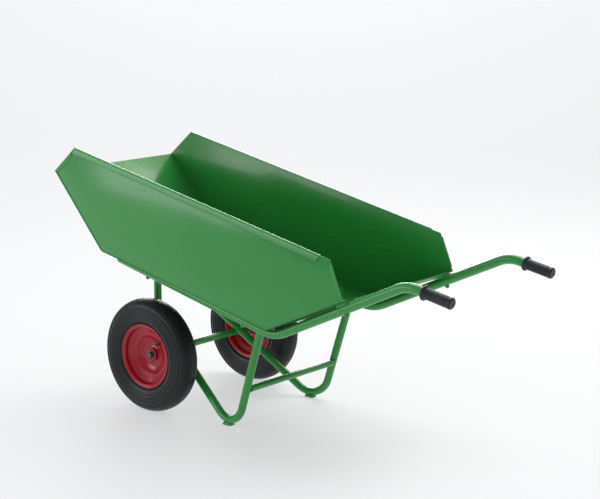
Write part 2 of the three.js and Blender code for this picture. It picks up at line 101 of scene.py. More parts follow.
class Finish:
    # one material: its nodes, and the shader that they end in

    def __init__(self, name):
        self.material = bpy.data.materials.new(name)
        self.material.use_nodes = True
        self.tree = self.material.node_tree
        self.tree.nodes.clear()
        self.place = self.node("TexCoord", output="Object")

    def node(self, kind, settings=None, sockets=None, output=0):
        made = self.tree.nodes.new("ShaderNode" + kind)
        for key, value in (settings or {}).items():
            setattr(made, key, value)
        for key, value in (sockets or {}).items():
            if isinstance(value, Value):
                self.tree.links.new(value.socket, made.inputs[key])
            else:
                made.inputs[key].default_value = value
        return Value(self, made.outputs[output])

    def noise(self, scale, detail=3.0, roughness=0.5, stretch=None):
        place = self.place
        if stretch:
            place = self.node("Mapping", None, {"Vector": place, "Scale": stretch})
        return self.node("TexNoise", None, {
            "Vector": place, "Scale": scale, "Detail": detail, "Roughness": roughness,
        })

    def colours(self, factor, first, second, blend="MIX"):
        return self.node("Mix", {"data_type": "RGBA", "blend_type": blend},
                         {0: factor, 6: (*first, 1) if isinstance(first, tuple) else first,
                          7: (*second, 1) if isinstance(second, tuple) else second}, output=2)

    def bump(self, height, distance, strength=1.0, normal=None):
        sockets = {"Height": height, "Distance": distance, "Strength": strength}
        if normal is not None:
            sockets["Normal"] = normal
        return self.node("Bump", None, sockets)

    def shade(self, sockets):
        shader = self.node("BsdfPrincipled", None, sockets)
        out = self.tree.nodes.new("ShaderNodeOutputMaterial")
        self.tree.links.new(shader.socket, out.inputs["Surface"])
        return self.material


# ---- finishes ----

enamel = {
    "base": (0.034, 0.310, 0.057), "deep": (0.025, 0.258, 0.046), "rough": 0.26, "coat": 0.12, "sheen": 0.42,
    "worn": (0.16, 0.40, 0.17),
}
# the pan's underside: the same green enamel made darker and rougher, a painted shade for the shadow beneath
# the tub
shadedUnderside = {
    "base": (0.018, 0.130, 0.028), "deep": (0.010, 0.085, 0.018), "rough": 0.75, "coat": 0.0, "sheen": 0.06,
    "worn": (0.05, 0.13, 0.05),
}


def greenPaint(name, enamel):
    finish = Finish(name)
    cloud = finish.noise(5.0, 4.0)
    grain = finish.noise(60.0, 2.0)
    rub = finish.noise(22.0, 6.0, 0.65, (1.0, 1.0, 3.0)).between(0.62, 0.80)
    peel = finish.noise(420.0, 2.0)
    sag = finish.noise(3.2, 1.0)
    colour = finish.colours(cloud, enamel["deep"], enamel["base"])
    colour = finish.colours(rub * 0.08, colour, enamel["worn"])
    rough = enamel["rough"] + (grain - 0.5) * 0.10 + rub * 0.12
    coarse = finish.bump(sag, 0.003, 0.3)
    fine = finish.bump(peel, 0.0001, 0.12, coarse)
    return finish.shade({
        "Base Color": colour, "Roughness": rough, "Normal": fine, "Coat Weight": enamel["coat"],
        "Coat Roughness": 0.10, "Specular IOR Level": enamel["sheen"],
    })


redCoat = {"base": (0.44, 0.005, 0.022), "deep": (0.30, 0.003, 0.014), "rough": 0.20, "sheen": 0.34}


def redEnamel():
    finish = Finish("red_enamel")
    cloud = finish.noise(30.0, 3.0)
    peel = finish.noise(500.0, 2.0)
    dust = finish.noise(90.0, 5.0, 0.7).between(0.60, 0.78)
    colour = finish.colours(cloud, redCoat["deep"], redCoat["base"])
    colour = finish.colours(dust * 0.05, colour, (0.50, 0.16, 0.12))
    return finish.shade({
        "Base Color": colour, "Roughness": redCoat["rough"] + dust * 0.15,
        "Normal": finish.bump(peel, 0.00015, 0.3), "Coat Weight": 0.15, "Coat Roughness": 0.06,
        "Specular IOR Level": redCoat["sheen"],
    })


def tyreRubber():
    finish = Finish("tyre_rubber")
    mottle = finish.noise(14.0, 5.0, 0.6)
    pores = finish.noise(650.0, 3.0)
    dust = finish.noise(40.0, 6.0, 0.7).between(0.50, 0.75)
    colour = finish.colours(mottle, (0.004, 0.008, 0.009), (0.009, 0.015, 0.016))
    colour = finish.colours(dust * 0.18, colour, (0.030, 0.038, 0.037))
    return finish.shade({
        "Base Color": colour, "Roughness": 0.36 + dust * 0.2 + (mottle - 0.5) * 0.12,
        "Normal": finish.bump(pores, 0.0003, 0.3), "Specular IOR Level": 0.30,
    })


def gripPlastic():
    finish = Finish("grip_plastic")
    mottle = finish.noise(35.0, 4.0)
    pores = finish.noise(900.0, 2.0)
    scuff = finish.noise(120.0, 5.0, 0.7, (1.0, 3.0, 3.0)).between(0.62, 0.76)
    colour = finish.colours(mottle, (0.008, 0.016, 0.020), (0.014, 0.024, 0.029))
    colour = finish.colours(scuff * 0.25, colour, (0.045, 0.058, 0.064))
    return finish.shade({
        "Base Color": colour, "Roughness": 0.38 + scuff * 0.2,
        "Normal": finish.bump(pores, 0.0002, 0.3), "Specular IOR Level": 0.38,
    })


def blackRubber():
    finish = Finish("black_rubber")
    mottle = finish.noise(60.0, 4.0)
    colour = finish.colours(mottle, (0.008, 0.009, 0.010), (0.022, 0.024, 0.026))
    pores = finish.noise(700.0, 2.0)
    return finish.shade({
        "Base Color": colour, "Roughness": 0.4 + mottle * 0.2, "Normal": finish.bump(pores, 0.0002, 0.3),
    })


# steel for the washers, pins, bearings and axle ends in the hubs, kept dark: its dark base and dark reddish
# patches are painted shade of the hub recess
def recessShadeSteel():
    finish = Finish("recess_shade_steel")
    spangle = finish.noise(220.0, 3.0)
    darkRedPatch = finish.noise(45.0, 5.0, 0.6).between(0.45, 0.75)
    colour = finish.colours(spangle, (0.10, 0.085, 0.08), (0.17, 0.15, 0.14))
    colour = finish.colours(darkRedPatch * 0.6, colour, (0.05, 0.02, 0.018))
    return finish.shade({
        "Base Color": colour, "Roughness": 0.28 + spangle * 0.15 + darkRedPatch * 0.15, "Metallic": 1.0,
        "Normal": finish.bump(spangle, 0.0001, 0.4),
    })


green = greenPaint("green_enamel", enamel)
# darker green for the pan's underside, painted shade
greenShadedUnder = greenPaint("green_painted_shade_underside", shadedUnderside)
red = redEnamel()
tyreCoat = tyreRubber()
gripCoat = gripPlastic()
softBlack = blackRubber()
steel = recessShadeSteel()
print("finishes made")


# ---- modelling helpers ----

def reach(point, length, angle):
    return Vector((point.x + length * math.cos(angle), 0, point.z + length * math.sin(angle)))


def meet(a, angleA, b, angleB):
    across = math.sin(angleB - angleA)
    along = ((b.x - a.x) * math.sin(angleB) - (b.z - a.z) * math.cos(angleB)) / across
    return reach(a, along, angleA)


def finishPiece(name, bm, material, rideOn=body, replaces=(), flip=True, sharp=35, second=None):
    if flip:
        bmesh.ops.recalc_face_normals(bm, faces=bm.faces[:])
    for face in bm.faces:
        face.smooth = True
    for edge in bm.edges:
        if len(edge.link_faces) == 2 and edge.calc_face_angle(0) > math.radians(sharp):
            edge.smooth = False
    mesh = bpy.data.meshes.new(name)
    bm.to_mesh(mesh)
    bm.free()
    mesh.materials.append(material)
    if second:
        mesh.materials.append(second)
    piece = bpy.data.objects.new(name, mesh)
    bpy.context.scene.collection.objects.link(piece)
    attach(piece, rideOn)
    if replaces:
        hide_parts(*replaces)
    return piece


def pushOn(bm, edges, step):
    made = bmesh.ops.extrude_edge_only(bm, edges=edges)["geom"]
    verts = [part for part in made if isinstance(part, bmesh.types.BMVert)]
    bmesh.ops.translate(bm, vec=step, verts=verts)
    return [part for part in made if isinstance(part, bmesh.types.BMEdge)
            and part.verts[0] in verts and part.verts[1] in verts]


def bentTube(corners, bends, radius, around=32, bendSteps=16):
    bm = bmesh.new()
    ring = bmesh.ops.create_circle(bm, segments=around, radius=radius)["verts"]
    heading = (corners[1] - corners[0]).normalized()
    turn = Vector((0, 0, 1)).rotation_difference(heading).to_matrix()
    bmesh.ops.rotate(bm, cent=(0, 0, 0), matrix=turn, verts=ring)
    bmesh.ops.translate(bm, vec=corners[0], verts=ring)
    edges = bm.edges[:]
    firstRing = edges[:]
    at = corners[0]
    for i, bend in enumerate(bends, 1):
        before = (corners[i] - corners[i - 1]).normalized()
        after = (corners[i + 1] - corners[i]).normalized()
        angle = before.angle(after)
        axis = before.cross(after).normalized()
        setback = bend * math.tan(angle / 2)
        start = corners[i] - before * setback
        edges = pushOn(bm, edges, start - at)
        spun = bmesh.ops.spin(bm, geom=edges, cent=start + axis.cross(before) * bend, axis=axis,
                              angle=angle, steps=bendSteps)
        edges = [part for part in spun["geom_last"] if isinstance(part, bmesh.types.BMEdge)]
        at = corners[i] + after * setback
    edges = pushOn(bm, edges, corners[-1] - at)
    for rim in (firstRing, edges):
        bmesh.ops.edgeloop_fill(bm, edges=rim)
    return bm


def rounded(points, radius, steps=4):
    # the same outline with a small curve in place of each inner corner
    points = [Vector(point) for point in points]
    made = [points[0]]
    for before, corner, after in zip(points, points[1:], points[2:]):
        cut = min(radius, (before - corner).length * 0.45, (after - corner).length * 0.45)
        start = corner + (before - corner).normalized() * cut
        end = corner + (after - corner).normalized() * cut
        for i in range(steps + 1):
            t = i / steps
            made.append(start.lerp(corner, t).lerp(corner.lerp(end, t), t))
    return made + [points[-1]]


def curved(profile, radius, steps):
    # the same for a profile of [radius, y] points
    return [(point.x, point.y) for point in rounded([(r, y, 0) for r, y in profile], radius, steps)]


def addPath(bm, points):
    verts = [bm.verts.new(point) for point in points]
    return verts, [bm.edges.new(pair) for pair in zip(verts, verts[1:])]


def spun(profile, steps=96, curve=0.0, closed=False):
    # turns [radius, y] points about the y axis; closed joins the last point to the first
    points = [Vector((radius, y, 0)) for radius, y in profile]
    if curve:
        points = rounded(points, curve)
    bm = bmesh.new()
    verts, edges = addPath(bm, points)
    if closed:
        edges.append(bm.edges.new((verts[-1], verts[0])))
    bmesh.ops.spin(bm, geom=verts + edges, cent=(0, 0, 0), axis=spinAxis, angle=math.tau, steps=steps,
                   use_merge=True)
    bmesh.ops.remove_doubles(bm, verts=bm.verts[:], dist=1e-6)
    return bm


def move(bm, place=(0, 0, 0), turn=None):
    if turn is not None:
        bmesh.ops.rotate(bm, cent=(0, 0, 0), matrix=turn, verts=bm.verts[:])
    bmesh.ops.translate(bm, vec=place, verts=bm.verts[:])
    return bm


def alongHeading(heading):
    return spinAxis.rotation_difference(heading).to_matrix()


def softEdges(bm, width, angle=40, segments=2):
    edges = [edge for edge in bm.edges if len(edge.link_faces) == 2
             and edge.calc_face_angle(0) > math.radians(angle)]
    bmesh.ops.bevel(bm, geom=edges, offset=width, affect="EDGES", segments=segments, profile=0.5,
                    material=-1, clamp_overlap=True)
    return bm


# ---- tub ----

tub = {
    "sheet": 0.002, "floorLength": 0.790, "floorFall": math.radians(11.64),
    "noseLength": 0.354, "noseRise": math.radians(48.18), "noseCut": 0.1427,
    "noseCutRise": math.radians(40.2), "rampLength": 0.352, "rampRise": math.radians(24.22),
    "rampCut": 0.1365, "rampCutRise": math.radians(112.85), "fold": 0.007, "hem": 0.006, "hemRise": 0.0038,
    "lip": 0.014, "lipInset": 0.052, "lipLap": 0.006, "lipFold": 0.004, "hemTurn": 0.0012, "endGap": 0.001,
    "gap": 0.0003, "panBevel": 0.0004, "plateBevel": 0.0005, "hemSheet": 0.0012, "hemCurve": 0.0012,
}
panLow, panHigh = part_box("tub_pan")
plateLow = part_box("side_plate_right")[0]
panHalf = panHigh.y
plateInner = plateLow.y
plateOuter = plateLow.y + tub["sheet"]

rampEndX = panHigh.x - tub["lip"] * math.sin(tub["rampRise"])
rampFold = Vector((rampEndX - tub["rampLength"] * math.cos(tub["rampRise"]), 0, panLow.z))
noseFold = reach(rampFold, tub["floorLength"], math.pi - tub["floorFall"])
noseTip = reach(noseFold, tub["noseLength"], math.pi - tub["noseRise"])
noseTop = reach(noseTip, tub["noseCut"], tub["noseCutRise"])
rampEnd = reach(rampFold, tub["rampLength"], tub["rampRise"])
rampTop = reach(rampEnd, tub["rampCut"], tub["rampCutRise"])


def panSheet():
    # one sheet from the nose hem down, along the floor and up the ramp to its lip
    t = tub["sheet"]
    intoNose = math.pi / 2 - tub["noseRise"]
    intoFloor = math.pi / 2 - tub["floorFall"]
    intoRamp = math.pi / 2 + tub["rampRise"]
    half = t / 2
    noseLine = reach(noseTip, half, intoNose)
    rampLine = reach(rampEnd, half, intoRamp)
    fold1 = meet(noseLine, -tub["noseRise"], reach(noseFold, half, intoFloor), -tub["floorFall"])
    fold2 = meet(reach(rampFold, half, intoFloor), -tub["floorFall"], rampLine, tub["rampRise"])
    hemAt = reach(noseLine, tub["hem"], -tub["noseRise"])
    nose = reach(noseLine, tub["hemTurn"], -tub["noseRise"])
    path = [
        reach(hemAt, tub["hemRise"] - t, intoNose), reach(nose, tub["hemRise"] - t, intoNose), nose,
        fold1, fold2, reach(rampLine, tub["endGap"], math.pi + tub["rampRise"]),
    ]
    hem = rounded(path[:3], tub["hemTurn"])
    smooth = hem + rounded([path[2], fold1, fold2, path[5]], tub["fold"], 6)[1:]
    bm = bmesh.new()
    verts, edges = addPath(bm, smooth)
    bmesh.ops.translate(bm, vec=(0, -panHalf, 0), verts=verts)
    pushOn(bm, edges, Vector((0, 2 * panHalf, 0)))
    lipFoot = reach(rampLine, tub["lip"], -intoRamp)
    lipHalf = plateOuter - tub["lipInset"]
    lipRoot = reach(rampLine, tub["lipLap"], math.pi + tub["rampRise"])
    lipLine = rounded([lipRoot, rampLine, lipFoot], tub["lipFold"])
    verts, edges = addPath(bm, lipLine)
    bmesh.ops.translate(bm, vec=(0, -lipHalf, 0), verts=verts)
    pushOn(bm, edges, Vector((0, 2 * lipHalf, 0)))
    bmesh.ops.recalc_face_normals(bm, faces=bm.faces[:])
    bmesh.ops.solidify(bm, geom=bm.faces[:], thickness=t)
    softEdges(bm, tub["panBevel"], 60)
    bmesh.ops.recalc_face_normals(bm, faces=bm.faces[:])
    # faces that look down get the darker green, which is painted shade
    for face in bm.faces:
        face.material_index = int(face.normal.z < -0.5)     # the second material goes underneath
    return bm


finishPiece("pan_sheet", panSheet(), green, replaces=["tub_pan"], second=greenShadedUnder)


def plateOutline():
    edge = tub["sheet"] + tub["gap"]
    foldLine = [
        (reach(noseTip, edge, math.pi / 2 - tub["noseRise"]), -tub["noseRise"]),
        (reach(noseFold, edge, math.pi / 2 - tub["floorFall"]), -tub["floorFall"]),
        (reach(rampFold, edge, math.pi / 2 + tub["rampRise"]), tub["rampRise"]),
        (rampEnd, tub["rampCutRise"]),
        (rampTop, math.atan2(noseTop.z - rampTop.z, noseTop.x - rampTop.x)),
        (noseTop, math.pi + tub["noseCutRise"]),
    ]
    lines = foldLine[-1:] + foldLine
    return [meet(a, angleA, b, angleB) for (a, angleA), (b, angleB) in zip(lines, lines[1:])]


# each hem's [outwards, down the plate] section, and how far it stops short of both ends of its edge
hems = {
    "top": {"short": (0.002, 0.040), "cut": 0.5, "section": [
        (-0.0010, 0.0010), (-0.0010, -0.0020), (0.0044, -0.0020), (0.0044, 0.0036), (0.0026, 0.0052),
        (0.0030, 0.0072), (0.0052, 0.0220), (0.0036, 0.0232),
    ]},
    "nose": {"short": (0.012, 0.028), "cut": 0.3, "section": [
        (0.0002, 0.0010), (0.0016, 0.0020), (0.0018, 0.0140), (0.0004, 0.0152),
    ]},
    "ramp": {"short": (0.014, 0.016), "cut": 0.3, "section": [
        (-0.0008, 0.0008), (-0.0008, -0.0012), (0.0030, -0.0012), (0.0030, 0.0030), (0.0018, 0.0042),
        (0.0022, 0.0112), (0.0006, 0.0124),
    ]},
}


def addHem(bm, start, end, inward, sign, hem):
    # a strip folded outwards over the edge from start to end, its far end cut back slantwise
    along = (end - start).normalized()
    first = start + along * hem["short"][0] + Vector((0, sign * plateOuter, 0))
    length = (end - start).length - sum(hem["short"])
    section = [Vector((0, sign * out, 0)) + inward * down for out, down in hem["section"]]
    verts, edges = addPath(bm, [first + step for step in rounded(section, tub["hemCurve"], 3)])
    made = pushOn(bm, edges, along * length)
    for vert in {vert for edge in made for vert in edge.verts}:
        vert.co -= along * max((vert.co - first).dot(inward), 0) * hem["cut"]


def sidePlate(name, sign):
    bm = bmesh.new()
    outline = plateOutline()
    face = bm.faces.new([bm.verts.new(point + Vector((0, sign * plateInner, 0))) for point in outline])
    made = bmesh.ops.extrude_face_region(bm, geom=[face])["geom"]
    verts = [part for part in made if isinstance(part, bmesh.types.BMVert)]
    bmesh.ops.translate(bm, vec=(0, sign * tub["sheet"], 0), verts=verts)
    bmesh.ops.recalc_face_normals(bm, faces=bm.faces[:])
    softEdges(bm, tub["plateBevel"])
    plateFaces = set(bm.faces)
    tip, low1, low2, end, top, horn = outline
    edges = {"top": (horn, top), "nose": (tip, horn), "ramp": (top, end)}
    middle = (tip + low1 + low2 + end + top + horn) / 6
    for key, (start, finish) in edges.items():
        along = (finish - start).normalized()
        inward = (middle - start) - along * (middle - start).dot(along)
        addHem(bm, start, finish, inward.normalized(), sign, hems[key])
    strips = [each for each in bm.faces if each not in plateFaces]
    bmesh.ops.recalc_face_normals(bm, faces=strips)
    bmesh.ops.solidify(bm, geom=strips, thickness=tub["hemSheet"])
    finishPiece(f"plate_{name}", bm, green, replaces=[f"side_plate_{name}"])


for name, sign in sides:
    sidePlate(name, sign)
print("tub made")


# ---- frame tubes ----

tubes = {
    "rail": 0.01575, "leg": 0.0135, "brace": 0.011, "cross": 0.0125, "axle": 0.0125, "stub": 0.010,
    "railStandoff": 0.0049, "rampStandoff": 0.0054, "handleRise": math.radians(24.86),
    "handleFall": math.radians(10.9), "crestReach": 0.2308, "gripReach": 0.1678,
    "rampBend": 0.145, "crestBend": 0.130, "footBend": 0.078, "kneeBend": 0.070,
    "railInset": 0.0341, "railSplay": math.radians(1.8), "railStart": 0.038,
    "legBehindFold": -0.0687, "legInset": 0.0679, "legLap": 0.026, "apexX": -0.0524, "apexZ": -0.0269,
    "strutInset": 0.158, "strutBehindNose": 0.1174, "gap": 0.0003, "foldX": 0.146, "legTop": 0.008,
    "strutTop": 0.006, "insideGrip": 0.0045, "shoulder": 0.041, "painted": 0.0415, "bevel": 0.001,
    "crossLap": 0.6,
}
tubHalf = plateOuter
shift = rampFold.x - tubes["foldX"]     # from a place given against the ramp's fold to the frame
railDrop = tubes["railStandoff"] + tubes["rail"]
railFront = reach(noseFold, railDrop, -math.pi / 2 - tub["floorFall"])
railRear = reach(rampEnd, tubes["rampStandoff"] + tubes["rail"], tub["rampRise"] - math.pi / 2)
railVertex = meet(railFront, -tub["floorFall"], railRear, tubes["handleRise"])
crest = reach(railVertex, (rampEnd.x + tubes["crestReach"] - railVertex.x) / math.cos(tubes["handleRise"]),
              tubes["handleRise"])
handleHeading = Vector((math.cos(tubes["handleFall"]), 0, -math.sin(tubes["handleFall"])))
strutX = noseFold.x + tubes["strutBehindNose"]


def railHeight(x):
    return railVertex.z + (railVertex.x - x) * math.tan(tub["floorFall"])


def railSpread(x):
    return tubHalf - tubes["railInset"] + (x - rampFold.x) * math.tan(tubes["railSplay"])


def railPoint(point, sign):
    return Vector((point.x, sign * railSpread(point.x), point.z))


def railCorners(sign):
    startX = noseFold.x + tubes["railStart"]
    start = Vector((startX, 0, railHeight(startX)))
    top = railPoint(crest, sign)
    return [railPoint(start, sign), railPoint(railVertex, sign), top,
            top + handleHeading * (tubes["gripReach"] - tubes["insideGrip"])]


def legCorners(sign):
    wheel = axleCentre["wheel_right"]
    apex = Vector((tubes["apexX"] + shift, sign * (tubHalf - tubes["legInset"]), tubes["apexZ"]))
    across = apex.x - wheel.x
    up = wheel.z - apex.z
    touch = tubes["axle"] + tubes["leg"] + tubes["gap"]
    climb = math.atan2(up, across) + math.asin(touch / math.hypot(across, up))
    kneeZ = apex.z + (apex.x - strutX) * math.tan(climb)
    knee = Vector((strutX, sign * (tubHalf - tubes["strutInset"]), kneeZ))
    topX = rampFold.x + tubes["legBehindFold"]
    top = Vector((topX, sign * (railSpread(topX) - tubes["legLap"]), railHeight(topX) + tubes["legTop"]))
    return [top, apex, knee, Vector((strutX, knee.y, railHeight(strutX) - tubes["strutTop"]))]


for name, sign in sides:
    rail = bentTube(railCorners(sign), [tubes["rampBend"], tubes["crestBend"]], tubes["rail"])
    finishPiece(f"bent_rail_{name}", rail, green, replaces=[f"rail_{name}"])
    leg = bentTube(legCorners(sign), [tubes["footBend"], tubes["kneeBend"]], tubes["leg"])
    finishPiece(f"bent_leg_{name}", leg, green, replaces=[f"leg_{name}"])


def acrossTube(x, z, half, radius):
    return bentTube([Vector((x, -half, z)), Vector((x, half, z))], [], radius)


crossLow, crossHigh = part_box("front_cross_bar")
braceLow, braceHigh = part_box("leg_brace")
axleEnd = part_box("axle_bar")[1].y
crossMiddle = (crossLow + crossHigh) / 2
braceMiddle = (braceLow + braceHigh) / 2
crossHalf = railSpread(strutX) - tubes["rail"] * tubes["crossLap"]
finishPiece("cross_bar", acrossTube(strutX, crossMiddle.z, crossHalf, tubes["cross"]), green,
            replaces=["front_cross_bar"])
finishPiece("brace_bar", acrossTube(braceMiddle.x, braceMiddle.z, braceHigh.y, tubes["brace"]), green,
            replaces=["leg_brace"])


def axleBar():
    # a thick bar between the wheels, with a thinner stub at each end
    wheel = axleCentre["wheel_right"]
    shoulder = wheel.y - tubes["shoulder"]
    stub, axle, bevel = tubes["stub"], tubes["axle"], tubes["bevel"]
    half = [(axle, shoulder - bevel), (axle - bevel, shoulder), (stub, shoulder),
            (stub, axleEnd - bevel), (stub - bevel, axleEnd), (0, axleEnd)]
    other = [(radius, -y) for radius, y in reversed(half)]
    return move(spun(other + half, 32), (wheel.x, 0, wheel.z))


shaft = axleBar()
paintEnd = axleCentre["wheel_right"].y - tubes["painted"]
# the axle ends in the hubs take the dark steel, painted shade of the hub recess
for face in shaft.faces:
    face.material_index = int(abs(face.calc_center_median().y) > paintEnd)     # bare steel inside the hubs
finishPiece("axle_shaft", shaft, green, replaces=["axle_bar"], second=steel)
print("frame made")


# ---- grips and plugs ----

gripShape = {
    "length": 0.1059, "radius": 0.0178, "flange": 0.0243, "flangeWidth": 0.0085, "ribs": 24,
    "ribDepth": 0.0014, "bore": 0.0160, "curve": 0.0012, "wall": 0.004, "hole": 0.0035, "dimple": 0.0015,
    "collar": 0.0009,
}


def gripBody(sign):
    # flange, ribbed length and a plain collar at the closed end, which has a dimple
    g = gripShape
    radius, flange, width, length = g["radius"], g["flange"], g["flangeWidth"], g["length"]
    collar = radius + g["collar"]
    outline = [
        (g["bore"], 0.0), (flange - 0.002, 0.0), (flange, 0.002), (flange, width - 0.002),
        (flange - 0.0025, width), (radius + 0.0012, width + 0.0015), (radius, width + 0.005),
        (radius, length - 0.013), (collar, length - 0.011), (collar, length - 0.004),
        (radius - 0.003, length), (g["hole"], length), (g["hole"] - 0.0005, length - g["dimple"]),
        (0.0, length - g["dimple"]),
    ]
    inner = (g["bore"], length - g["wall"])
    bm = spun([inner] + curved(outline, g["curve"], 3), g["ribs"] * 4)
    holes = [edge for edge in bm.edges if edge.is_boundary]
    bmesh.ops.edgeloop_fill(bm, edges=holes)
    low, high = width + 0.002, length - 0.0095
    for face in bm.faces:
        centre = face.calc_center_median()
        face.tag = low < centre.y < high and centre.xz.length > radius * 0.97
    ribFaces = [face for face in bm.faces if face.tag]
    cut = [edge for face in ribFaces for edge in face.edges
           if abs(edge.verts[0].co.y - edge.verts[1].co.y) > length / 2]
    for vert in {vert for edge in cut for vert in edge.verts}:
        turn = math.atan2(vert.co.z, vert.co.x) * g["ribs"]
        vert.co.xz *= 1 - g["ribDepth"] / radius * max(0.0, math.cos(turn))
    start = railPoint(crest, sign) + handleHeading * (tubes["gripReach"] - length)
    return move(bm, start, alongHeading(handleHeading))


def railPlug(sign):
    # a flat head that covers the tube's end, and a stem inside it
    r = tubes["rail"]
    profile = [
        (0, -0.0028), (r - 0.003, -0.0028), (r - 0.0008, -0.002), (r, -0.0008), (r, -0.0003),
        (r - 0.003, -0.0003), (r - 0.003, 0.012), (r - 0.004, 0.014), (0, 0.014),
    ]
    corners = railCorners(sign)
    heading = (corners[1] - corners[0]).normalized()
    return move(spun(profile, 32), corners[0], alongHeading(heading))


for name, sign in sides:
    finishPiece(f"handle_grip_{name}", gripBody(sign), gripCoat, replaces=[f"grip_{name}"], sharp=50)
    finishPiece(f"end_plug_{name}", railPlug(sign), gripCoat, replaces=[f"rail_plug_{name}"])
print("grips made")


# ---- wheels ----

wheelShape = {
    "radius": 0.200, "seat": 0.1033, "flange": 0.114, "rimHalf": 0.031, "sheet": 0.0025,
    "well": 0.082, "bowl": 0.064, "hub": 0.024, "steps": 144, "treadHalf": 0.031, "crown": 0.0075,
    "crownPower": 2.2, "groove": 0.0022, "tyreCurve": 0.0012, "rimCurve": 0.0022, "gap": 0.0003,
    "hubBore": 0.0178, "hubIn": -0.040, "hubOut": 0.002, "hubBevel": 0.0012, "valveStart": 0.0975,
}

# [from the axle, across the wheel] points of what stands on the tyre's outer half
moulding = [(0.1330, 0.0402), (0.1440, 0.0414), (0.1550, 0.0416), (0.1660, 0.0408)]
treadBands = [(0.0310, 0.0060), (0.0228, 0.0062), (0.0144, 0.0064)]     # outer edge and width


def crownAt(across):
    # the tread's height at a distance from the middle of the tyre
    w = wheelShape
    return w["radius"] - w["crown"] * (across / w["treadHalf"]) ** w["crownPower"]


def tyreProfile():
    # outer half from the bead up to the crown, with moulding lines, then back inside
    outer = [(0.1036, 0.0165), (0.1036, 0.0305), (0.1150, 0.0306), (0.1175, 0.0322), (0.1205, 0.0362)]
    wall = [(0.1240, 0.0376), (0.1300, 0.0396)]
    lines = []
    for at, out in moulding:
        lines += [(at, out), (at + 0.0016, out + 0.0013), (at + 0.0040, out + 0.0012),
                  (at + 0.0062, out - 0.0008)]
    shoulder = [(0.1760, 0.0386), (0.1815, 0.0372), (0.1832, 0.0385), (0.1850, 0.0386), (0.1866, 0.0364),
                (0.1895, 0.0335)]
    tread = []
    for edge, width in treadBands:
        inner = edge - width
        floor = crownAt(inner) - wheelShape["groove"]
        tread += [(crownAt(edge), edge), (crownAt(inner), inner), (floor, inner - 0.0003),
                  (floor, inner - 0.0017)]
    tread += [(wheelShape["radius"] - 0.0002, 0.0060)]
    half1 = outer + wall + lines + shoulder + tread
    half2 = [(0.1180, 0.0285), (0.1300, 0.0345), (0.1500, 0.0368), (0.1740, 0.0340), (0.1860, 0.0250),
             (0.1920, 0.0120)]
    mirrored = [(radius, -y) for radius, y in reversed(half1)]
    inside = [(radius, -y) for radius, y in half2] + [(radius, y) for radius, y in reversed(half2)]
    return half1 + mirrored + inside


def rimProfile():
    # the side under the tyre, and the open side: flange, well, disc, bore and back
    w = wheelShape
    t, flange, half, well, bowl = w["sheet"], w["flange"], w["rimHalf"], w["well"], w["bowl"]
    seat, bore = w["seat"] - w["gap"], w["hub"] + w["gap"]
    tyreSide = [(flange - 0.0012, half + 0.0004), (seat + 0.004, half - 0.0002), (seat, half - 0.004),
                (seat - 0.0012, half - 0.015), (well + 0.0035, 0.0075), (well + 0.0013, 0.0035)]
    openSide = [
        (flange - 0.0002, half + 0.0012), (flange - 0.0002, half + 0.0022), (flange - 0.0016, half + 0.0030),
        (seat + 0.0050, half + t), (seat - t, half - 0.0015), (seat - t - 0.0012, half - 0.0145),
        (well + 0.0012, 0.0085), (well - 0.002, 0.0062),
    ]
    disc = [(bowl + 0.0085, 0.0066), (bowl + 0.0045, 0.0054), (bowl + 0.0010, 0.0010),
            (bowl - 0.0080, -0.0050), (bore + 0.020, -0.0100), (bore + 0.007, -0.0105), (bore, -0.0080)]
    back = [(bore, -0.0112), (bore + 0.008, -0.0136), (bore + 0.021, -0.0130), (bowl - 0.0080, -0.0080),
            (bowl + 0.0050, 0.0010), (well - 0.0030, 0.0018)]
    tyreAll = tyreSide + [(radius, -y) for radius, y in reversed(tyreSide)]
    openBack = [(radius, -y) for radius, y in reversed(openSide)]
    return tyreAll, openSide + disc + back + openBack


def wheelPieces(name, sign):
    rideOn = f"wheel_{name}"
    centre = axleCentre[rideOn]
    turn = Matrix.Rotation(0 if sign > 0 else math.pi, 3, "Z")

    def add(piece, bm, material, replaces, sharp=35):
        move(bm, centre, turn)
        nodes = [f"{each}_{name}" for each in replaces]
        finishPiece(f"{piece}_{name}", bm, material, rideOn, nodes, sharp=sharp)

    tyreLine = curved(tyreProfile(), wheelShape["tyreCurve"], 2)
    add("ribbed_tyre", spun(tyreLine, wheelShape["steps"], closed=True), tyreCoat, ["tyre"], 60)
    tyreSide, openSide = rimProfile()
    rimLine = curved(tyreSide + openSide[::-1], wheelShape["rimCurve"], 3)
    add("pressed_rim", spun(rimLine, wheelShape["steps"], closed=True), red, ["rim"], 70)
    h, bore, bevel = wheelShape["hub"], wheelShape["hubBore"], wheelShape["hubBevel"]
    start, end = wheelShape["hubIn"], wheelShape["hubOut"]
    hub = [(bore, start), (h - bevel, start), (h, start + bevel), (h, end - bevel), (h - bevel, end),
           (bore, end)]
    add("hub_barrel", spun(hub, 64, closed=True), red, ["hub"])
    stem = [(0, 0), (0.0046, 0), (0.0046, 0.016), (0.0040, 0.020), (0.0040, 0.0305), (0.0036, 0.031),
            (0, 0.031)]
    cap = [(0, 0.0315), (0.0049, 0.0315), (0.0049, 0.0405), (0.0040, 0.0430), (0, 0.0435)]
    capLow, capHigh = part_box(f"valve_cap_{name}")
    capMiddle = (capLow + capHigh) / 2
    inward = centre - capMiddle
    inward.y = 0
    inward.normalize()
    base = Vector((centre.x, capMiddle.y, centre.z)) - inward * wheelShape["valveStart"]
    for piece, profile, node in (("valve", stem, "valve_stem"), ("cap", cap, "valve_cap")):
        bm = move(spun(profile, 24, 0.0006), base, alongHeading(inward))
        finishPiece(f"{piece}_{name}", bm, softBlack, rideOn, [f"{node}_{name}"])


for name, sign in sides:
    wheelPieces(name, sign)
print("wheels made")


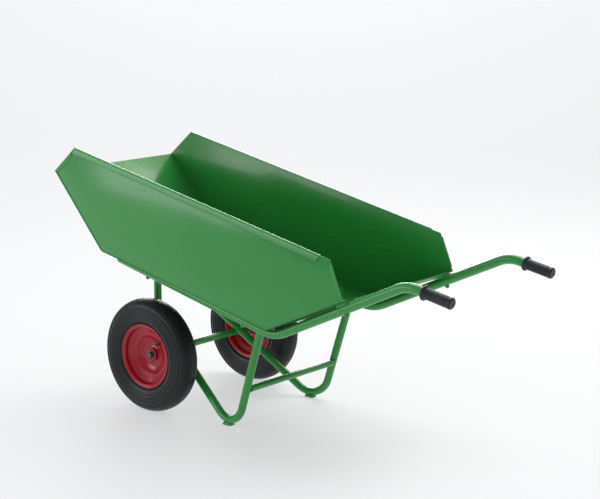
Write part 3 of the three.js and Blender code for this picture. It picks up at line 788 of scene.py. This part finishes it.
# ---- fixings, feet and welds ----

# washers, split pins and bearings take the dark steel, painted shade of the hub recess
coats = {
    "washer": steel, "split_pin": steel, "bearing": steel, "saddle": green, "inner_tube": softBlack,
}
for node, cad in frame["nodes"].items():
    for start, material in coats.items():
        if node.startswith(start):
            cad.data.materials.clear()
            cad.data.materials.append(material)


fixing = {
    "front": 0.190, "middle": 0.130, "rear": 0.024, "bolt": 0.004, "head": 0.0088, "headHeight": 0.0042,
    "nut": 0.0075, "nutHeight": 0.0065, "tail": 0.003, "gap": 0.0003, "bevel": 0.0007, "headEdge": 0.0008,
    "headSteps": 6, "nutBevel": 0.0006, "padTaper": 0.82, "padBevel": 0.0022,
}


def fixingsFor(sign):
    # origin on the underside of the pan, z up through it, and the way down to the rail's centre
    fall, rise = tub["floorFall"], tub["rampRise"]
    spots = [
        ("front", reach(noseFold, fixing["front"], -fall), -fall, -fall),
        ("middle", reach(rampFold, fixing["middle"], math.pi - fall), -fall, -fall),
        ("rear", reach(rampEnd, fixing["rear"], math.pi + rise), rise, tubes["handleRise"]),
    ]
    for name, point, slope, railSlope in spots:
        centre = meet(point, slope - math.pi / 2, railVertex, railSlope)
        place = Vector((point.x, sign * railSpread(centre.x), point.z))
        yield name, place, Matrix.Rotation(-slope, 3, "Y"), (point - centre).length


def bolt(place, turn, drop):
    f = fixing
    seat = tub["sheet"] + f["gap"]
    domeStart = seat + f["headEdge"]
    foot = -(drop + tubes["rail"] + f["nutHeight"] + f["tail"])
    profile = [(0, foot), (f["bolt"] - f["bevel"], foot), (f["bolt"], foot + f["bevel"]), (f["bolt"], seat),
               (f["head"], seat), (f["head"], domeStart)]
    for i in range(1, f["headSteps"] + 1):
        angle = math.pi / 2 * i / f["headSteps"]
        profile.append((f["head"] * math.cos(angle), domeStart + f["headHeight"] * math.sin(angle)))
    bm = move(spun(profile, 32), turn=Matrix.Rotation(math.pi / 2, 3, "X"))
    return move(bm, place, turn)


def nut(place, turn, drop):
    f = fixing
    top = -(drop + tubes["rail"] + f["gap"])
    bm = bmesh.new()
    ring = bmesh.ops.create_circle(bm, segments=6, radius=f["nut"], cap_ends=True)["verts"]
    bmesh.ops.translate(bm, vec=(0, 0, top), verts=ring)
    made = bmesh.ops.extrude_face_region(bm, geom=bm.faces[:])["geom"]
    verts = [part for part in made if isinstance(part, bmesh.types.BMVert)]
    bmesh.ops.translate(bm, vec=(0, 0, -f["nutHeight"]), verts=verts)
    return move(softEdges(bm, f["nutBevel"], 30), place, turn)


def footPad(node):
    # a small block, shorter at its top
    low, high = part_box(node)
    bm = bmesh.new()
    bmesh.ops.create_cube(bm, size=1, matrix=Matrix.Diagonal((*(high - low), 1)))
    for vert in bm.verts:
        if vert.co.z > 0:
            vert.co.x *= fixing["padTaper"]
    return move(softEdges(bm, fixing["padBevel"], 30, 3), (low + high) / 2)


for name, sign in sides:
    for spot, place, turn, drop in fixingsFor(sign):
        finishPiece(f"round_bolt_{spot}_{name}", bolt(place, turn, drop), green,
                    replaces=[f"bolt_{spot}_{name}"])
        finishPiece(f"hex_nut_{spot}_{name}", nut(place, turn, drop), green, replaces=[f"nut_{spot}_{name}"])
    finishPiece(f"rest_pad_{name}", footPad(f"foot_pad_{name}"), green, replaces=[f"foot_pad_{name}"])


weld = {
    "ring": 0.0021, "stray": 0.1, "legShare": 0.97, "stitch": 0.0022, "stitchStep": 0.0032, "drops": 9,
    "every": 0.11, "fromPlate": 0.0008, "fromSheet": 0.0006,
}


def weldBead(bm, points, size):
    # a run of overlapping drops, as a welder lays them
    for point in points:
        made = bmesh.ops.create_icosphere(bm, subdivisions=2, radius=size)["verts"]
        spot = Vector([random.uniform(-weld["stray"], weld["stray"]) * size for _ in range(3)])
        bmesh.ops.translate(bm, vec=point + spot, verts=made)


def teeWeld(start, heading, radius, other, otherHeading, otherRadius, count=28):
    # where a tube of that radius meets another tube's wall, coming from the far end of its heading
    heading = heading.normalized()
    otherHeading = otherHeading.normalized()
    side = heading.orthogonal().normalized()
    up = heading.cross(side)
    across = heading - otherHeading * heading.dot(otherHeading)
    points = []
    for i in range(count):
        angle = math.tau * i / count
        edge = start + (side * math.cos(angle) + up * math.sin(angle)) * radius
        away = edge - other
        away -= otherHeading * away.dot(otherHeading)
        half = away.dot(across)
        inside = half * half - across.length_squared * (away.length_squared - otherRadius ** 2)
        if inside >= 0:
            points.append(edge + heading * ((-half + math.sqrt(inside)) / across.length_squared))
    return points


def frameWelds():
    # rings of weld where the cross bar meets rails and struts, and the brace meets the legs
    bm = bmesh.new()
    size = weld["ring"]
    for name, sign in sides:
        top, apex, knee, strutTop = legCorners(sign)
        railLine = railCorners(sign)
        railWay = railLine[1] - railLine[0]
        inwards = Vector((0, -sign, 0))
        crossEnd = Vector((strutX, sign * railSpread(strutX), crossMiddle.z))
        weldBead(bm, teeWeld(crossEnd, inwards, tubes["cross"], railLine[0], railWay, tubes["rail"]), size)
        braceEnd = Vector((braceMiddle.x, top.y, braceMiddle.z))
        weldBead(bm, teeWeld(braceEnd, inwards, tubes["brace"], apex, top - apex, tubes["leg"]), size)
        crossStart = Vector((strutX, knee.y, crossMiddle.z))
        strut = tubes["leg"] * weld["legShare"]
        down = Vector((0, 0, -1))
        weldBead(bm, teeWeld(crossStart, down, strut, crossStart, spinAxis, tubes["cross"]), size)
    return bm


finishPiece("frame_welds", frameWelds(), green, flip=False, sharp=180)


def seamWelds():
    # short stitches inside the tub where the plates meet the folded sheet
    bm = bmesh.new()
    middleDrop = weld["drops"] // 2
    for name, sign in sides:
        y = sign * (plateInner - weld["fromPlate"])
        for start, end, into in ((noseTip, noseFold, math.pi / 2 - tub["noseRise"]),
                                 (noseFold, rampFold, math.pi / 2 - tub["floorFall"]),
                                 (rampFold, rampEnd, math.pi / 2 + tub["rampRise"])):
            run = end - start
            step = run.normalized() * weld["stitchStep"]
            count = max(2, round(run.length / weld["every"]))
            lift = reach(Vector((0, 0, 0)), tub["sheet"] + weld["fromSheet"], into)
            for i in range(count):
                middle = start + run * ((i + 0.5) / count) + lift + Vector((0, y, 0))
                stitch = [middle + step * (k - middleDrop) for k in range(weld["drops"])]
                weldBead(bm, stitch, weld["stitch"])
    return bm


finishPiece("seam_welds", seamWelds(), green, flip=False, sharp=180)
print("welds made")


# ---- stage ----

room = {
    "floor": 60.0, "near": (0.33, 0.33, 0.335), "far": (0.29, 0.29, 0.29), "glow": (0.54, 0.543, 0.547),
    "sky": (0.94, 0.965, 1.0), "skyStrength": 0.46, "nearEnd": 0.8, "farStart": 7.0,
}
origin = (0, 0, 0)
tubMiddle = (-0.3, 0, 0.5)
suns = [
    {"name": "overhead", "energy": 1.5, "place": (-1.0, 1.5, 3.4), "angle": math.radians(45)},
    {"name": "far_glow", "energy": 1.1, "place": (-3.2, 3.7, 1.15), "angle": math.radians(24)},
]
panels = [
    {"name": "back_panel", "energy": 60, "place": (0.2, 3.2, 3.2), "size": 2.6, "size_y": 1.5,
     "color": (1.0, 0.98, 0.88)},
    {"name": "side_panel", "energy": 75, "place": (-4.4, -5.0, 1.7), "size": 3.2, "size_y": 2.0},
]
seen = {"place": (3.3712, -3.8818, 1.6226), "back": (0.6383, -0.7441, 0.1975), "lens": 92.80, "sensor": 36,
        "farthest": 200}


def floorPlane():
    bm = bmesh.new()
    bmesh.ops.create_circle(bm, segments=96, radius=room["floor"], cap_ends=True)
    mesh = bpy.data.meshes.new("floor")
    bm.to_mesh(mesh)
    bm.free()
    finish = Finish("pale_floor")
    distance = finish.node("VectorMath", {"operation": "LENGTH"}, {0: finish.place}, output="Value")
    colour = finish.colours(distance.between(room["nearEnd"], room["farStart"]), room["near"], room["far"])
    mesh.materials.append(finish.shade({
        "Base Color": colour, "Roughness": 0.85, "Specular IOR Level": 0.15,
        "Emission Color": (*room["glow"], 1), "Emission Strength": 1.0,
    }))
    floor = bpy.data.objects.new("floor", mesh)
    bpy.context.scene.collection.objects.link(floor)


def addLight(kind, aim, name, energy, place, **settings):
    light = bpy.data.lights.new(name, kind)
    light.energy = energy
    for key, value in settings.items():
        setattr(light, key, value)
    lamp = bpy.data.objects.new(name, light)
    lamp.location = place
    lamp.rotation_euler = (Vector(aim) - Vector(place)).to_track_quat("-Z", "Y").to_euler()
    lamp.visible_camera = False
    bpy.context.scene.collection.objects.link(lamp)


def studio():
    world = bpy.data.worlds.new("studio")
    world.use_nodes = True
    sky = world.node_tree.nodes["Background"]
    sky.inputs["Color"].default_value = (*room["sky"], 1)
    sky.inputs["Strength"].default_value = room["skyStrength"]
    bpy.context.scene.world = world
    for sun in suns:
        addLight("SUN", origin, **sun)
    for panel in panels:
        addLight("AREA", tubMiddle, shape="RECTANGLE", **panel)
    bpy.context.scene.view_settings.view_transform = "Standard"


def camera():
    eye = bpy.data.cameras.new("camera")
    eye.lens = seen["lens"]
    eye.sensor_width = seen["sensor"]
    eye.clip_end = seen["farthest"]
    holder = bpy.data.objects.new("camera", eye)
    holder.location = seen["place"]
    holder.rotation_euler = (-Vector(seen["back"])).to_track_quat("-Z", "Y").to_euler()
    bpy.context.scene.collection.objects.link(holder)
    bpy.context.scene.camera = holder


floorPlane()
studio()
camera()
